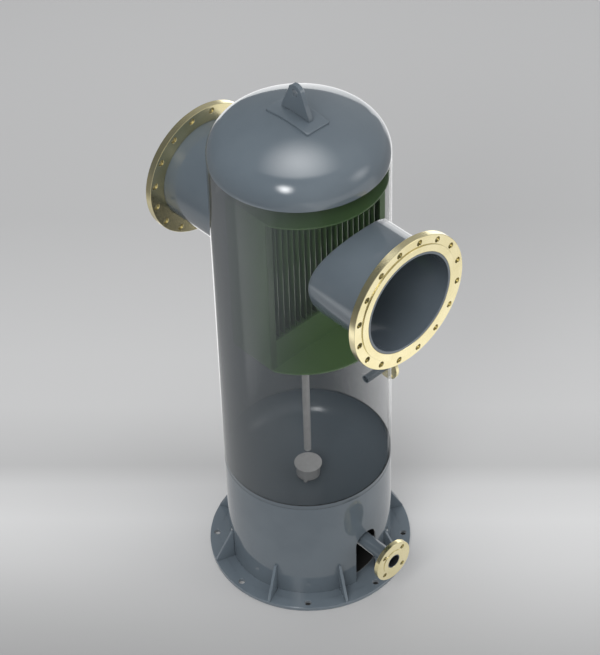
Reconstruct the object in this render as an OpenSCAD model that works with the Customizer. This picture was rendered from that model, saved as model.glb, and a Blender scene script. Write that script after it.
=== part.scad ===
// Vertical vane separator: a shell on a skirt, with a corrugated vane pack across its outlet.
// +Z is up, +X points out of the outlet, and the origin is under the middle of the base ring.

/* [Vessel] */
// Outer diameter of the shell, heads and skirt
shell_d = 612; // [580:2:660]
// Wall of the shell, heads and skirt
shell_wall = 6; // [4:1:10]
// Length of the plain shell between the two heads
shell_len = 1355; // [1250:5:1500]
// Straight rim on each dished head
head_rim = 7; // [4:1:30]
// Outer crown radius of the dished heads
head_crown_r = 550; // [500:5:600]
// Outer knuckle radius of the dished heads
head_knuckle_r = 105; // [90:5:120]
// Clearance between curved pieces that are welded to each other
fit = 0.3; // [0.2:0.05:0.5]

/* [Skirt and base] */
// Height of the skirt, from the base ring to the knuckle line of the bottom head
skirt_h = 460; // [420:2:560]
// Flat land on the skirt's upper edge, beside the knuckle it carries
skirt_land = 0.4; // [0.3:0.1:2]
// Width of the base ring outside the skirt
base_out = 74; // [64:1:110]
// Width of the base ring inside the skirt's wall
base_in = 30; // [10:1:60]
// Thickness of the base ring
base_t = 16; // [10:1:30]
// Distance from the anchor holes' circle to the base ring's rim
anchor_edge = 27; // [20:1:36]
// Diameter of the anchor holes
anchor_hole = 24; // [16:1:30]
// Number of anchor holes, with a gusset between each pair
anchor_count = 8; // [6:1:8]
// Thickness of a gusset
gusset_t = 10; // [6:1:14]
// Height of a gusset above the base ring
gusset_h = 130; // [80:5:150]
// Distance from a gusset's toe to the base ring's rim
gusset_inset = 2; // [1:1:20]
// Height of the blunt nose at the foot of a gusset, and length of its flat top
gusset_nose = 7; // [4:1:20]
// Space between the drain pipe and the skirt's arched opening round it
arch_gap = 21.5; // [12:0.5:40]

/* [Main nozzles] */
// Distance from the shell's upper edge down to the inlet and outlet axis
nozzle_drop = 331; // [300:1:380]
// Distance from the shell's side to a main flange's face
nozzle_out = 209; // [170:1:300]
// Outer diameter of the main pipes
pipe_d = 377; // [340:1:390]
// Wall of the main pipes
pipe_wall = 9; // [6:1:14]
// Width of a main flange's ring outside its pipe
flange_w = 61.5; // [56:0.5:80]
// Thickness of the main flanges, with the raised face
flange_t = 30; // [22:1:40]
// Height of the raised face
face_h = 4; // [2:0.5:6]
// Distance from the bolt circle to a main flange's rim
flange_edge = 20; // [16:0.5:26]
// Space between the bolt holes and the raised face
face_gap = 4; // [2:0.5:6]
// Diameter of the bolt holes in the main flanges
flange_hole = 22; // [16:1:24]
// Number of bolt holes in the main flanges
flange_count = 16; // [12:4:16]
// How far a pipe's end sits back from its flange's face
pipe_setback = 10; // [4:1:16]

/* [Drain] */
// Distance from the sump's lowest point down to the drain's axis
drain_drop = 124; // [100:1:140]
// Distance from the skirt's side to the drain flange's face
drain_out = 142; // [110:1:220]
// Outer diameter of the drain pipe
drain_d = 57; // [45:1:64]
// Wall of the drain pipe and the instrument pipe
small_wall = 3.5; // [2.5:0.5:5]
// Bend radius of the drain's elbow
drain_bend = 76; // [60:1:90]
// Width of the drain flange's ring outside its pipe
drain_flange_w = 54; // [46:0.5:64]
// Distance from the bolt circle to the drain flange's rim
drain_edge = 20; // [14:0.5:24]
// Diameter of the drain flange's bolt holes
drain_hole = 18; // [12:1:20]
// Thickness of the drain flange
drain_flange_t = 20; // [16:1:26]
// Height of the raised faces on the two small flanges
small_face_h = 2; // [1:0.5:3]
// How far the small pipes sit back from their flanges' faces
small_setback = 6; // [3:1:10]
// Number of bolt holes in each small flange
small_count = 4; // [4:4:8]

/* [Instrument nozzle] */
// Height of the instrument nozzle's axis above the shell's lower edge
gauge_rise = 133; // [60:1:400]
// Distance from the shell's side to the instrument flange's face
gauge_out = 114; // [80:1:180]
// Outer diameter of the instrument pipe
gauge_d = 32; // [26:1:38]
// Width of the instrument flange's ring outside its pipe
gauge_flange_w = 41.5; // [35:0.5:48]
// Distance from the bolt circle to the instrument flange's rim
gauge_edge = 15; // [11:0.5:18]
// Diameter of the instrument flange's bolt holes
gauge_hole = 14; // [10:1:16]
// Thickness of the instrument flange
gauge_flange_t = 16; // [12:1:20]

/* [Vane box] */
// Distance from the shell's axis to the outlet face of the vane box
box_face = 130; // [110:2:170]
// Depth of the vane box, from the inlet face to the outlet face
box_depth = 200; // [180:5:240]
// Space between the vane box's side plates and the shell, at the outlet face
box_gap = 3; // [1:0.5:8]
// Sheet of the side plates, face strips and blank plates
sheet = 4; // [2:0.5:6]
// Thickness of the top plate, bottom plate and tray
plate_t = 6; // [4:0.5:10]
// Distance from the outlet axis down to the bottom plate's underside
box_drop = 384; // [360:1:460]
// Height from the bottom plate's underside to the tray's upper side
tray_rise = 126; // [110:2:170]
// Distance from the outlet axis up to the top plate's underside
lid_rise = 255; // [230:1:280]
// Width of the strip at each end of the outlet face
strip_w = 24; // [18:1:30]

/* [Vanes] */
// Spacing of the vanes
vane_pitch = 25; // [22:0.5:25]
// Sheet of a vane
vane_t = 2; // [1:0.25:3]
// Bends along each vane
vane_bends = 4; // [2:1:5]
// Sideways swing of the bends from the vane's middle line
vane_swing = 7; // [4:0.5:8]
// Straight run at each end of a vane
vane_run = 24; // [16:1:30]
// Stand-off of the drainage hooks from the vane
hook_gap = 5; // [3:0.5:6]
// Length of the drainage hooks
hook_len = 14; // [8:1:18]

/* [Downcomer and cap] */
// Outer diameter of the downcomer
downcomer_d = 27; // [20:1:34]
// Wall of the downcomer
downcomer_wall = 2.6; // [2:0.2:4]
// Height of the downcomer's open end above the cap
downcomer_gap = 70; // [30:1:90]
// Diameter of the cap's plate
cap_d = 103; // [102:1:124]
// Thickness of the cap's plate
cap_t = 5; // [3:0.5:8]
// Diameter of the tube under the cap's plate
cap_tube_d = 88; // [70:1:96]
// Wall of the tube under the cap's plate
cap_wall = 4; // [3:0.5:6]
// Height of the cap, from the tube's lower end to the top of the plate
cap_h = 55; // [40:1:80]
// Height of the tube's lower end over the lowest point inside the bottom head
cap_lift = 13; // [6:0.5:24]
// Diameter of the feet under the cap
foot_d = 14; // [8:1:18]
// Number of feet under the cap
foot_count = 3; // [3:1:4]

/* [Lifting lug] */
// Length of the pad on the top head
pad_l = 200; // [180:2:240]
// Width of the pad
pad_w = 100; // [80:2:140]
// Corner radius of the pad
pad_r = 8; // [4:1:35]
// Thickness of the pad
pad_t = 8; // [6:1:16]
// Width of the lug at its foot
lug_w = 130; // [110:2:160]
// Height of the lug's upright edges above the pad's crown
lug_foot = 6; // [2:1:20]
// Radius of the lug's rounded top
lug_r = 32; // [26:1:50]
// Height of the lug's eye above the pad's crown
lug_eye_z = 79; // [60:1:110]
// Diameter of the lug's eye
lug_eye_d = 26; // [20:1:40]
// Thickness of the lug
lug_t = 18; // [12:1:30]

/* [Hidden] */
$fn = 96;
eps = 1;
shell_r = shell_d / 2;
bore_r = shell_r - shell_wall;
base_r = shell_r + base_out;
anchor_r = base_r - anchor_edge;
gusset_reach = base_out - fit - gusset_inset;
knuckle_z = base_t + skirt_h;
shell_z = knuckle_z + head_rim;
shell_top = shell_z + shell_len;
dome_z = shell_top + head_rim;
knuckle_c = shell_r - head_knuckle_r;
crown_drop = sqrt(pow(head_crown_r - head_knuckle_r, 2) - pow(knuckle_c, 2));
knuckle_angle = atan2(crown_drop, knuckle_c);
head_depth = head_crown_r - crown_drop;
land_drop = sqrt(pow(head_knuckle_r + fit, 2) - pow(head_knuckle_r - skirt_land, 2));
sump_z = knuckle_z - head_depth + shell_wall;
drain_z = sump_z - drain_drop;
drain_reach = shell_r + drain_out;
arch_w = drain_d + 2 * arch_gap;
gauge_z = shell_z + gauge_rise;
gauge_reach = shell_r + gauge_out;
nozzle_z = shell_top - nozzle_drop;
nozzle_reach = shell_r + nozzle_out;
plate_r = bore_r - fit;
box_back = box_face - box_depth;
box_z = nozzle_z - box_drop;
tray_z = box_z + tray_rise;
lid_z = nozzle_z + lid_rise;
vane_h = lid_z - tray_z;
face_half = sqrt(pow(plate_r, 2) - pow(box_face, 2));
box_w = 2 * (face_half - box_gap);
side_y = box_w / 2 - sheet;
window_y = face_half - strip_w;
vane_side = vane_swing + hook_gap + vane_t;
vane_count = floor(2 * (window_y - vane_side) / vane_pitch) + 1;
vane_x0 = box_back + sheet / 2;
vane_len = box_depth - 2 * sheet;
vane_step = (vane_len - 2 * vane_run) / (vane_bends + 1);
vane_line = concat(
    [[vane_x0, 0]],
    [for (i = [0 : vane_bends + 1]) [vane_x0 + vane_run + i * vane_step, bend_y(i)]],
    [[vane_x0 + vane_len, 0]]
);
vane_last = len(vane_line) - 1;
hook_points = [
    [-vane_t / 2, vane_t / 2],
    [-vane_t / 2, hook_gap - vane_t / 2],
    [vane_t / 2 - hook_len, hook_gap - vane_t / 2],
    [vane_t / 2 - hook_len, hook_gap + vane_t / 2],
    [vane_t / 2, hook_gap + vane_t / 2],
    [vane_t / 2, vane_t / 2]
];
cap_z = sump_z + cap_lift;
cap_top = cap_z + cap_h;
foot_ring = cap_tube_d / 2 - foot_d / 2;
crown_centre = dome_z - crown_drop;
pad_under = head_crown_r + fit;
pad_over = pad_under + pad_t;
lug_z = crown_centre + pad_over;
lug_sink = pad_over - sqrt(pow(pad_over, 2) - pow(lug_w / 2, 2)) + eps;
paint = "slategray";
brass = "khaki";
green = "darkolivegreen";
pale = "darkgray";

function reversed(points) = [for (i = [len(points) - 1 : -1 : 0]) points[i]];

// Sideways place of a vane's bend, which alternates and comes back to the middle line at both ends
function bend_y(i) = (i == 0 || i == vane_bends + 1) ? 0 : (i % 2 == 1 ? vane_swing : -vane_swing);

// Points of a vane's edge at one bend: a drainage hook on the bend's outer side, or a single point
function edge_points(i, side) =
    vane_line[i][1] * side > 0
        ? [for (q = hook_points) vane_line[i] + [q[0], side * q[1]]]
        : [vane_line[i] + [0, side * vane_t / 2]];

module tube(r, wall, h) {
    difference() {
        cylinder(r = r, h = h);
        translate([0, 0, -eps]) cylinder(r = r - wall, h = h + 2 * eps);
    }
}

module ring_of_holes(r, d, count, first, h) {
    for (i = [0 : count - 1])
        rotate([0, 0, first + i * 360 / count])
            translate([r, 0, -eps]) cylinder(d = d, h = h + 2 * eps, $fn = 32);
}

// Part of a ring between two angles, less than a quarter turn apart
module arc_band(r, wall, from, to) {
    far = 2 * r;
    middle = (from + to) / 2;
    intersection() {
        difference() {
            circle(r);
            circle(r - wall);
        }
        polygon([
            [0, 0],
            far * [cos(from), sin(from)],
            far * [cos(middle), sin(middle)],
            far * [cos(to), sin(to)]
        ]);
    }
}

// A dished head, with its knuckle line at z = 0 and its rim below
module dished_head() {
    rotate_extrude() {
        translate([knuckle_c, 0]) arc_band(head_knuckle_r, shell_wall, 0, knuckle_angle);
        translate([0, -crown_drop]) arc_band(head_crown_r, shell_wall, knuckle_angle, 90);
        translate([bore_r, -head_rim]) square([shell_wall, head_rim]);
    }
}

// A flange welded on a pipe's end, with a raised face that looks along +Z at z = 0
module pipe_flange(pipe, ring, t, edge, hole, count, raised) {
    bore = pipe / 2 + fit;
    rim = pipe / 2 + ring;
    bolts = rim - edge;
    difference() {
        union() {
            translate([0, 0, -t]) cylinder(r = rim, h = t - raised);
            translate([0, 0, -raised]) cylinder(r = bolts - hole / 2 - face_gap, h = raised);
        }
        translate([0, 0, -t - eps]) cylinder(r = bore, h = t + 2 * eps);
        translate([0, 0, -t]) ring_of_holes(bolts, hole, count, 180 / count, t);
    }
}

module base_ring() {
    color(paint)
        difference() {
            cylinder(r = base_r, h = base_t);
            translate([0, 0, -eps]) cylinder(r = bore_r - base_in, h = base_t + 2 * eps);
            ring_of_holes(anchor_r, anchor_hole, anchor_count, 0, base_t);
        }
}

// The skirt's upper edge is ground to the knuckle that it carries
module skirt() {
    color(paint)
        difference() {
            rotate_extrude() difference() {
                translate([bore_r, base_t]) square([shell_wall, skirt_h - land_drop]);
                translate([knuckle_c, knuckle_z]) circle(head_knuckle_r + fit);
            }
            arch_cut();
        }
}

// The arched opening is centred on the drain pipe and stands open down to the base ring
module arch_cut() {
    rotate([90, 0, 90]) linear_extrude(shell_r + eps) {
        translate([-arch_w / 2, 0]) square([arch_w, drain_z]);
        translate([0, drain_z]) circle(d = arch_w);
    }
}

module gusset(i) {
    color(paint)
        rotate([0, 0, (i - 0.5) * 360 / anchor_count])
            translate([shell_r + fit, gusset_t / 2, base_t])
                rotate([90, 0, 0])
                    linear_extrude(gusset_t)
                        polygon([
                            [0, 0],
                            [gusset_reach, 0],
                            [gusset_reach, gusset_nose],
                            [gusset_nose, gusset_h],
                            [0, gusset_h]
                        ]);
}

module bottom_head() {
    color(paint)
        difference() {
            translate([0, 0, knuckle_z]) mirror([0, 0, 1]) dished_head();
            cylinder(r = drain_d / 2 + fit, h = knuckle_z);
        }
}

module shell() {
    color("lightsteelblue", 0.4)
        difference() {
            translate([0, 0, shell_z]) tube(shell_r, shell_wall, shell_len);
            translate([-shell_r - eps, 0, nozzle_z])
                rotate([0, 90, 0]) cylinder(r = pipe_d / 2 + fit, h = 2 * (shell_r + eps));
            translate([0, 0, gauge_z])
                rotate([-90, 0, 0]) cylinder(r = gauge_d / 2 + fit, h = shell_r + eps);
        }
}

module top_head() {
    color(paint) translate([0, 0, dome_z]) dished_head();
}

module lug_pad() {
    color(paint)
        intersection() {
            translate([0, 0, crown_centre]) difference() {
                sphere(pad_over);
                sphere(pad_under);
            }
            translate([0, 0, dome_z]) linear_extrude(2 * head_depth) pad_outline();
        }
}

module pad_outline() {
    square([pad_l - 2 * pad_r, pad_w], center = true);
    square([pad_l, pad_w - 2 * pad_r], center = true);
    for (x = [-1, 1], y = [-1, 1])
        translate([x * (pad_l / 2 - pad_r), y * (pad_w / 2 - pad_r)]) circle(pad_r);
}

module lifting_lug() {
    color(paint)
        difference() {
            translate([0, lug_t / 2, lug_z])
                rotate([90, 0, 0]) linear_extrude(lug_t) lug_outline();
            translate([0, 0, crown_centre]) sphere(pad_over + fit);
            translate([0, -lug_t / 2 - eps, lug_z + lug_eye_z])
                rotate([-90, 0, 0]) cylinder(d = lug_eye_d, h = lug_t + 2 * eps);
        }
}

module lug_outline() {
    translate([0, lug_eye_z]) circle(lug_r);
    polygon([
        [-lug_w / 2, -lug_sink],
        [lug_w / 2, -lug_sink],
        [lug_w / 2, lug_foot],
        [lug_r, lug_eye_z],
        [-lug_r, lug_eye_z],
        [-lug_w / 2, lug_foot]
    ]);
}

// The main pipe along +X, cut to the curve of the shell's inside
module main_pipe() {
    color(paint)
        difference() {
            translate([0, 0, nozzle_z])
                rotate([0, 90, 0]) tube(pipe_d / 2, pipe_wall, nozzle_reach - pipe_setback);
            translate([0, 0, nozzle_z - pipe_d]) cylinder(r = bore_r, h = 2 * pipe_d);
        }
}

module main_flange() {
    color(brass)
        translate([nozzle_reach, 0, nozzle_z])
            rotate([0, 90, 0])
                pipe_flange(pipe_d, flange_w, flange_t, flange_edge, flange_hole, flange_count, face_h);
}

module inlet_pipe() {
    rotate([0, 0, 180]) main_pipe();
}

module inlet_flange() {
    rotate([0, 0, 180]) main_flange();
}

module outlet_pipe() {
    main_pipe();
}

module outlet_flange() {
    main_flange();
}

// The drain falls from the bottom head and turns out through the arch
module drain_pipe() {
    elbow_z = drain_z + drain_bend;
    color(paint) {
        translate([0, 0, elbow_z]) tube(drain_d / 2, small_wall, sump_z - elbow_z);
        translate([drain_bend, 0, elbow_z])
            rotate([90, 0, 0])
                rotate([0, 0, 180])
                    rotate_extrude(angle = 90) translate([drain_bend, 0]) difference() {
                        circle(d = drain_d);
                        circle(d = drain_d - 2 * small_wall);
                    }
        translate([drain_bend, 0, drain_z])
            rotate([0, 90, 0])
                tube(drain_d / 2, small_wall, drain_reach - small_setback - drain_bend);
    }
}

module drain_flange() {
    color(brass)
        translate([drain_reach, 0, drain_z])
            rotate([0, 90, 0])
                pipe_flange(
                    drain_d, drain_flange_w, drain_flange_t, drain_edge, drain_hole, small_count, small_face_h
                );
}

module gauge_pipe() {
    color(paint)
        difference() {
            translate([0, 0, gauge_z])
                rotate([-90, 0, 0]) tube(gauge_d / 2, small_wall, gauge_reach - small_setback);
            translate([0, 0, gauge_z - gauge_d]) cylinder(r = bore_r, h = 2 * gauge_d);
        }
}

module gauge_flange() {
    color(brass)
        translate([0, gauge_reach, gauge_z])
            rotate([-90, 0, 0])
                pipe_flange(
                    gauge_d, gauge_flange_w, gauge_flange_t, gauge_edge, gauge_hole, small_count, small_face_h
                );
}

// A flat plate that closes the outlet side of the shell above or below the vanes
module closing_plate() {
    linear_extrude(plate_t) intersection() {
        circle(plate_r);
        translate([box_back, -box_w / 2]) square([plate_r - box_back, box_w]);
    }
}

module top_plate() {
    color(green) translate([0, 0, lid_z]) closing_plate();
}

module bottom_plate() {
    color(green)
        difference() {
            translate([0, 0, box_z]) closing_plate();
            translate([0, 0, box_z - eps])
                cylinder(r = downcomer_d / 2 + fit, h = plate_t + 2 * eps);
        }
}

module tray() {
    color(green)
        difference() {
            translate([box_back, -side_y, tray_z - plate_t])
                cube([box_depth - sheet, 2 * side_y, plate_t]);
            translate([0, 0, tray_z - plate_t - eps])
                cylinder(r = downcomer_d / 2 + fit, h = plate_t + 2 * eps);
        }
}

module side_plate() {
    translate([box_back, side_y, box_z + plate_t])
        cube([box_depth - sheet, sheet, lid_z - box_z - plate_t]);
}

module side_plate_left() {
    color(green) side_plate();
}

module side_plate_right() {
    color(green) mirror([0, 1, 0]) side_plate();
}

// The strip between the outlet face's window and the shell
module face_strip() {
    translate([0, 0, box_z + plate_t]) linear_extrude(lid_z - box_z - plate_t) intersection() {
        circle(plate_r);
        translate([box_face - sheet, window_y]) square([sheet, bore_r - window_y]);
    }
}

module face_strip_left() {
    color(green) face_strip();
}

module face_strip_right() {
    color(green) mirror([0, 1, 0]) face_strip();
}

module face_blank() {
    color(green)
        translate([box_face - sheet, -window_y, box_z + plate_t])
            cube([sheet, 2 * window_y, tray_rise - plate_t]);
}

module back_blank() {
    color(green)
        translate([box_back, -side_y, box_z + plate_t])
            cube([sheet, 2 * side_y, tray_rise - 2 * plate_t]);
}

// One vane bends from side to side between two straight runs, and each bend has a drainage hook
module vane_profile() {
    left = [for (i = [0 : vane_last]) each edge_points(i, 1)];
    right = [for (i = [0 : vane_last]) each edge_points(i, -1)];
    polygon(concat(left, reversed(right)));
}

module vanes() {
    color(green)
        translate([0, 0, tray_z]) linear_extrude(vane_h)
            for (i = [0 : vane_count - 1])
                translate([0, (i - (vane_count - 1) / 2) * vane_pitch]) vane_profile();
}

module downcomer() {
    color(pale)
        translate([0, 0, cap_top + downcomer_gap])
            tube(downcomer_d / 2, downcomer_wall, tray_z - cap_top - downcomer_gap);
}

// A round plate on a short tube, over the drain's opening
module drain_cap() {
    color(pale)
        translate([0, 0, cap_z]) rotate_extrude() polygon([
            [cap_tube_d / 2 - cap_wall, 0],
            [cap_tube_d / 2, 0],
            [cap_tube_d / 2, cap_h - cap_t],
            [cap_d / 2, cap_h - cap_t],
            [cap_d / 2, cap_h],
            [0, cap_h],
            [0, cap_h - cap_t],
            [cap_tube_d / 2 - cap_wall, cap_h - cap_t]
        ]);
}

// Feet from the tube's lower end down to the curve of the bottom head
module cap_feet() {
    color(pale)
        intersection() {
            for (i = [0 : foot_count - 1])
                rotate([0, 0, (i + 0.5) * 360 / foot_count])
                    translate([foot_ring, 0, sump_z]) cylinder(d = foot_d, h = cap_lift);
            translate([0, 0, knuckle_z + crown_drop]) sphere(head_crown_r - shell_wall - fit, $fn = 256);
        }
}

base_ring();
skirt();
bottom_head();
shell();
top_head();
lug_pad();
lifting_lug();
for (i = [1 : anchor_count])
    gusset(i);
inlet_pipe();
inlet_flange();
outlet_pipe();
outlet_flange();
drain_pipe();
drain_flange();
gauge_pipe();
gauge_flange();
top_plate();
bottom_plate();
tray();
side_plate_left();
side_plate_right();
face_strip_left();
face_strip_right();
face_blank();
back_blank();
vanes();
downcomer();
drain_cap();
cap_feet();
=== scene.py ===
import bmesh
import bpy
import math
from mathutils import Matrix, Vector


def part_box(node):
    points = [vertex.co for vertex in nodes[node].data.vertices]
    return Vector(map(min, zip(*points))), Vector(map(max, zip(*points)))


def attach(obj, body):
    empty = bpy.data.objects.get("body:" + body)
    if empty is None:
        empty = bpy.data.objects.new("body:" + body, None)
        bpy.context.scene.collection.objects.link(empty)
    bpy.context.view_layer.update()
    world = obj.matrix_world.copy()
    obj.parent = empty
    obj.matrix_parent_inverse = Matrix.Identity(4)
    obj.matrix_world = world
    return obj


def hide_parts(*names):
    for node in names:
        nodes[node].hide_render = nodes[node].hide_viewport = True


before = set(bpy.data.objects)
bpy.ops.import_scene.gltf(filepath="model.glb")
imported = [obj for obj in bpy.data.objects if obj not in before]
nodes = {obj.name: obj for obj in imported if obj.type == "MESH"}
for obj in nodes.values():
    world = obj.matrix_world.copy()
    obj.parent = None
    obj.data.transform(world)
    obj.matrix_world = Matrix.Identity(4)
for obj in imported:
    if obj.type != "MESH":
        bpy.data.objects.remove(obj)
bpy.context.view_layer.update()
scene = bpy.context.scene
scene.view_settings.view_transform = "Standard"
scene.cycles.transparent_max_bounces = 24
print("frame loaded:", len(nodes), "nodes")


class Wire:  # a node's socket that can stand in sums
    def __init__(self, tree, socket=None):
        self.tree = tree
        self.socket = socket

    def add(self, kind, settings=None, inputs=None, out=0):
        node = self.tree.nodes.new(kind)
        for key, value in (settings or {}).items():
            if key == "stops":
                setStops(node.color_ramp, value)
            else:
                setattr(node, key, value)
        for key, value in (inputs or {}).items():
            if isinstance(value, Wire):
                self.tree.links.new(value.socket, node.inputs[key])
            else:
                node.inputs[key].default_value = value
        return Wire(self.tree, node.outputs[out]) if len(node.outputs) else Wire(self.tree)

    def maths(self, operation, first, second=0.0):
        return self.add("ShaderNodeMath", {"operation": operation}, {0: first, 1: second})

    def vectors(self, operation, *values):  # DOT_PRODUCT and LENGTH give a number, the others a vector
        out = 1 if operation in ("DOT_PRODUCT", "LENGTH") else 0
        return self.add("ShaderNodeVectorMath", {"operation": operation}, dict(enumerate(values)), out)

    def __add__(self, other):
        return self.maths("ADD", self, other)

    def __radd__(self, other):
        return self.maths("ADD", other, self)

    def __sub__(self, other):
        return self.maths("SUBTRACT", self, other)

    def __rsub__(self, other):
        return self.maths("SUBTRACT", other, self)

    def __mul__(self, other):
        return self.maths("MULTIPLY", self, other)

    def __rmul__(self, other):
        return self.maths("MULTIPLY", other, self)

    def __truediv__(self, other):
        return self.maths("DIVIDE", self, other)

    def __rtruediv__(self, other):
        return self.maths("DIVIDE", other, self)

    def __pow__(self, other):
        return self.maths("POWER", self, other)

    def __rpow__(self, other):
        return self.maths("POWER", other, self)

    def ramp(self, low, high, fromValue=0.0, toValue=1.0):
        sockets = {0: self, 1: low, 2: high, 3: fromValue, 4: toValue}
        return self.add("ShaderNodeMapRange", {"interpolation_type": "SMOOTHSTEP"}, sockets)

    def mix(self, colourA, colourB):
        return self.add("ShaderNodeMix", {"data_type": "RGBA"}, {0: self, 6: colourA, 7: colourB}, 2)


def setStops(colorRamp, stops):
    while len(colorRamp.elements) < len(stops):
        colorRamp.elements.new(1.0)
    for element, (place, colour) in zip(colorRamp.elements, stops):
        element.position = place
        element.color = colour


def rgb(red, green, blue):
    return (red, green, blue, 1.0)


def newMaterial(name):
    material = bpy.data.materials.new(name)
    material.use_nodes = True
    material.node_tree.nodes.clear()
    wire = Wire(material.node_tree)
    place = wire.add("ShaderNodeTexCoord", out="Object")
    return material, wire, place


def finishMaterial(wire, shader):
    wire.add("ShaderNodeOutputMaterial", inputs={"Surface": shader})


def noise(place, scale, detail=4.0, rough=0.55):
    sockets = {"Vector": place, "Scale": scale, "Detail": detail, "Roughness": rough}
    return place.add("ShaderNodeTexNoise", {"noise_dimensions": "3D"}, sockets)


def bump(height, strength, distance):
    return height.add("ShaderNodeBump", inputs={"Height": height, "Strength": strength, "Distance": distance})


def axes(place):  # x, y and z of a vector
    parts = place.add("ShaderNodeSeparateXYZ", inputs={0: place}).socket.node
    return [Wire(place.tree, output) for output in parts.outputs]


# camera, at the photograph's own place
camera = {
    "place": (4.3624, -3.9740, 6.4362),
    "right": (0.68755, 0.72574, -0.02405),
    "up": (-0.47635, 0.47579, 0.73940),
    "forward": (-0.54805, 0.49692, -0.67284),
    "focalPixels": 2281.07,
    "longSidePixels": 655,
    "sensor": 36.0,
    "clipEnd": 100.0,
}


def makeCamera(s):
    data = bpy.data.cameras.new("camera")
    data.sensor_width = s["sensor"]
    data.lens = s["focalPixels"] * s["sensor"] / s["longSidePixels"]
    data.clip_end = s["clipEnd"]
    made = bpy.data.objects.new("camera", data)
    turn = Matrix((s["right"], s["up"], [-v for v in s["forward"]])).transposed()
    made.matrix_world = Matrix.Translation(s["place"]) @ turn.to_4x4()
    scene.collection.objects.link(made)
    scene.camera = made


makeCamera(camera)
print("camera placed")

# floor, sky, lamps and panels
farAlong = (-0.7096, 0.7047, 0.0)  # away from the camera, along the floor
sideAlong = (0.7047, 0.7096, 0.0)  # to the right of it
floor = {
    "radius": 14.0,
    "edges": 96,
    "lightAndShadeTones": [(-0.9, 0.275), (-0.15, 0.55), (0.08, 0.605), (0.26, 0.56), (0.37, 0.465),
              (0.7, 0.53), (1.0, 0.53), (1.9, 0.475), (3.6, 0.53)],  # distance along farAlong, and tone: painted light and shade in bands along the floor
    "plain": rgb(0.51, 0.51, 0.51),  # away from the vessel
    "plainReach": (2.8, 4.4),
    "fadeReach": (4.4, 8.5),  # here it goes over into the backdrop
    "frontLeftShade": 0.86,  # painted shade: the front is darker on the left
    "frontLeftSide": (0.3, -1.0),
    "frontLeftFar": (0.1, -0.5),
    "shade": rgb(0.05, 0.05, 0.05),  # painted shade: under the skirt, and in the holes away from the light
    "shadeReach": (0.366, 0.376),
    "shadeSide": (-0.15, -0.22),
    "skirtReach": (0.30, 0.335),
}
floorGlow = {  # the floor as the gloss mirrors it
    "left": 0.58,
    "right": 1.25,
    "side": (0.12, 1.45),
    "regions": [
        {"side": (-0.5, -1.2), "far": (0.25, 1.7), "glow": 0.30},
        {"side": (-1.0, -1.4), "far": (-0.3, -0.5), "glow": 1.30},
        {"side": (-0.6, -1.4), "reach": (2.1, 3.2), "glow": 0.20},
        {"side": (1.6, 2.5), "glow": 0.95},
        {"side": (1.0, 2.0), "far": (0.0, 1.2), "glow": 0.40},
    ],
    "back": 1.45,  # the brightest, a wedge behind the vessel
    "backFar": (0.40, 0.60),
    "leanLeft": (-0.56, -0.36),
    "leanRight": (0.78, 0.52),
    "near": 0.22,  # the wedge is wider near the vessel
    "nearFar": (1.2, 2.2),
}
sky = {
    "left": rgb(0.13, 0.14, 0.15),
    "right": rgb(0.50, 0.51, 0.52),
    "turn": (-0.6, 0.5),
    "soft": rgb(0.68, 0.685, 0.695),
    "back": rgb(0.56, 0.56, 0.57),
}
lampAim = Vector((0.0, 0.0, 1.2))
lamps = [  # way from the aim, distance, width, power
    {"name": "overheadLamp", "way": (-0.06, 0.06, 1.0), "far": 5.9, "size": 3.2, "watts": 95.0},
    {"name": "frontLamp", "way": (0.371, -0.688, 0.623), "far": 6.5, "size": 3.6, "watts": 197.0},
    {"name": "sideLamp", "way": (0.755, 0.553, 0.353), "far": 6.5, "size": 3.0, "watts": 80.0},
]
panels = [  # aim, way from it, distance, width and height, strength, and how it fades from its middle
    {"name": "crownPanel", "aim": (0, 0, 1.95), "way": (-0.075, 0.074, 0.995), "far": 5.0,
     "size": (6.0, 5.0), "glow": 5.8, "fade": (0.0, 0.5), "peak": 1.25, "roll": 0.0},
    {"name": "keyPanel", "aim": (0, 0, 1.95), "way": (0.371, -0.688, 0.623), "far": 7.0,
     "size": (3.6, 6.2), "glow": 18.0, "fade": (0.0, 0.5), "peak": 1.85, "roll": 0.0},
    {"name": "sidePanel", "aim": (0, 0, 1.95), "way": (0.755, 0.553, 0.353), "far": 6.5,
     "size": (4.4, 4.4), "glow": 2.5, "fade": (0.0, 0.5), "peak": 1.0, "roll": 0.0},
    {"name": "backPanel", "aim": (0, 0, 0.88), "way": (-0.707, 0.707, 0.0), "far": 4.7,
     "size": (4.6, 1.76), "glow": 2.0, "fade": (0.75, 0.76), "peak": 1.0, "roll": -13.0},
]
mirrorDepth = (2.4, 1.6)  # the panels are fainter in a mirror's mirror


def directRay(wire):  # 1 where the eye looks, straight or through glass
    seen = wire.add("ShaderNodeLightPath", out="Is Camera Ray")
    return wire.maths("MAXIMUM", seen, wire.add("ShaderNodeLightPath", out="Is Transmission Ray"))


def floorShine(s, side, far, reach):  # as a share of the brightest
    shine = side.ramp(*s["side"], s["left"], s["right"])
    for region in s["regions"]:
        share = side.ramp(*region["side"])
        if "far" in region:
            share = share * far.ramp(*region["far"])
        if "reach" in region:
            share = share * reach.ramp(*region["reach"])
        shine = shine + (region["glow"] - shine) * share
    lean = side / far
    near = far.ramp(*s["nearFar"], s["near"], 0.0)
    wedge = (lean + near).ramp(*s["leanLeft"]) * lean.ramp(*s["leanRight"]) * far.ramp(*s["backFar"])
    shine = shine + (s["back"] - shine) * wedge
    return (shine / s["back"]).mix(rgb(0, 0, 0), rgb(1, 1, 1))


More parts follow.
